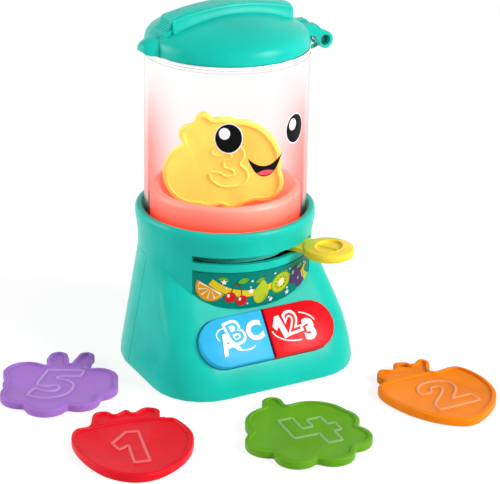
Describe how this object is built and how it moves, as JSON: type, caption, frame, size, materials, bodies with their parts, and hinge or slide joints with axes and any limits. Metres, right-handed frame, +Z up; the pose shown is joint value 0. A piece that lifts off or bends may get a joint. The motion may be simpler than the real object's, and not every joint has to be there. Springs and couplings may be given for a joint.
{
  "type": "toy blender",
  "caption": "Toy blender with a clear jar, hinged domed lid, swinging lever that turns a bowl, two big buttons and loose fruit-shaped play pieces.",
  "frame": {"origin": "middle of the base's underside, on the jar's axis", "axes": "+Z up along the jar, -Y to the front with the buttons and the lever slot, +X to the lid hinge, -X to the pouring tab"},
  "size_m": [0.2675, 0.2231, 0.221],
  "materials": {
    "teal_plastic": "satin",
    "clear_plastic": "clear, polished",
    "frosted_plastic": "frosted",
    "yellow_plastic": "satin",
    "blue_plastic": "satin",
    "red_plastic": "satin",
    "piece_red": "satin",
    "piece_orange": "satin",
    "piece_yellow": "satin",
    "piece_green": "satin",
    "piece_purple": "satin",
    "printed_label": "printed film",
    "gear_plastic": "moulded",
    "dark_plastic": "moulded",
    "circuit_board": "solder mask",
    "light_white": "clear epoxy",
    "rubber": "matt",
    "speaker_paper": "paper cone",
    "battery_case": "wrapped can",
    "steel": "zinc plated"
  },
  "bodies": {
    "base": {"main_housing": "teal_plastic", "rear_cover": "teal_plastic", "base_plate": "teal_plastic", "battery_door": "teal_plastic", "battery_door_screw": "steel", "battery_1": "battery_case", "battery_2": "battery_case", "battery_3": "battery_case", "contact_plate_left": "steel", "contact_plate_right": "steel", "base_screw_1": "steel", "base_screw_2": "steel", "base_screw_3": "steel", "base_screw_4": "steel", "label_panel": "printed_label", "jar": "clear_plastic", "hinge_pin": "steel", "jar_floor": "clear_plastic", "shaft_bush": "dark_plastic", "light_board": "circuit_board", "light_1": "light_white", "light_2": "light_white", "light_3": "light_white", "light_4": "light_white", "gear_plate": "dark_plastic", "gear_plate_screw_1": "steel", "gear_plate_screw_2": "steel", "gear_plate_screw_3": "steel", "gear_plate_screw_4": "steel", "idler_axle": "steel", "rubber_dome_blue": "rubber", "rubber_dome_red": "rubber", "button_board": "circuit_board", "sound_chip": "dark_plastic", "speaker_frame": "dark_plastic", "speaker_cone": "speaker_paper", "speaker_magnet": "steel", "power_switch_body": "dark_plastic"},
    "lid_body": {"lid": "teal_plastic"},
    "tumbler": {"tumbler_bowl": "frosted_plastic", "tumbler_shaft": "steel", "tumbler_pinion": "gear_plastic"},
    "idler": {"idler_gear": "gear_plastic"},
    "lever_body": {"lever": "yellow_plastic", "slot_shield": "teal_plastic"},
    "blue_button": {"button_blue": "blue_plastic"},
    "red_button": {"button_red": "red_plastic"},
    "switch_knob": {"power_switch_knob": "dark_plastic"},
    "piece_one": {"play_piece_1": "piece_red"},
    "piece_two": {"play_piece_2": "piece_orange"},
    "piece_three": {"play_piece_3": "piece_yellow"},
    "piece_four": {"play_piece_4": "piece_green"},
    "piece_five": {"play_piece_5": "piece_purple"}
  },
  "joints": [
    {"name": "lid_hinge", "type": "hinge", "parent": "base", "child": "lid_body", "pos_m": [0.0615, 0, 0.1925], "axis": [0, 1, 0], "range_deg": [0, 110]},
    {"name": "tumbler_spin", "type": "hinge", "parent": "base", "child": "tumbler", "pos_m": [0, 0, 0.0866], "axis": [0, 0, 1], "range_deg": [-280, 0]},
    {"name": "idler_spin", "type": "hinge", "parent": "base", "child": "idler", "pos_m": [0, 0.027, 0.0718], "axis": [0, 0, 1], "range_deg": [0, 140]},
    {"name": "lever_sweep", "type": "hinge", "parent": "base", "child": "lever_body", "pos_m": [0, 0, 0.0773], "axis": [0, 0, 1], "range_deg": [-70, 0]},
    {"name": "blue_button_press", "type": "slide", "parent": "base", "child": "blue_button", "axis": [0, 0.788, -0.6157], "range_m": [0, 0.0024], "stiffness_N_per_m": 400, "springref_m": -0.001},
    {"name": "red_button_press", "type": "slide", "parent": "base", "child": "red_button", "axis": [0, 0.788, -0.6157], "range_m": [0, 0.0024], "stiffness_N_per_m": 400, "springref_m": -0.001},
    {"name": "power_switch_slide", "type": "slide", "parent": "base", "child": "switch_knob", "axis": [1, 0, 0], "range_m": [0, 0.006]},
    {"name": "piece_one_lift", "type": "slide", "parent": "base", "child": "piece_one", "axis": [0, 0, 1], "range_m": [0, 0.12]},
    {"name": "piece_two_lift", "type": "slide", "parent": "base", "child": "piece_two", "axis": [0, 0, 1], "range_m": [0, 0.12]},
    {"name": "piece_three_lift", "type": "slide", "parent": "tumbler", "child": "piece_three", "axis": [0, 0, 1], "range_m": [0, 0.03]},
    {"name": "piece_four_lift", "type": "slide", "parent": "base", "child": "piece_four", "axis": [0, 0, 1], "range_m": [0, 0.12]},
    {"name": "piece_five_lift", "type": "slide", "parent": "base", "child": "piece_five", "axis": [0, 0, 1], "range_m": [0, 0.12]}
  ],
  "couplings": [
    {"joint": "lever_sweep", "follows": "tumbler_spin", "ratio": 0.25},
    {"joint": "idler_spin", "follows": "tumbler_spin", "ratio": -0.5}
  ]
}
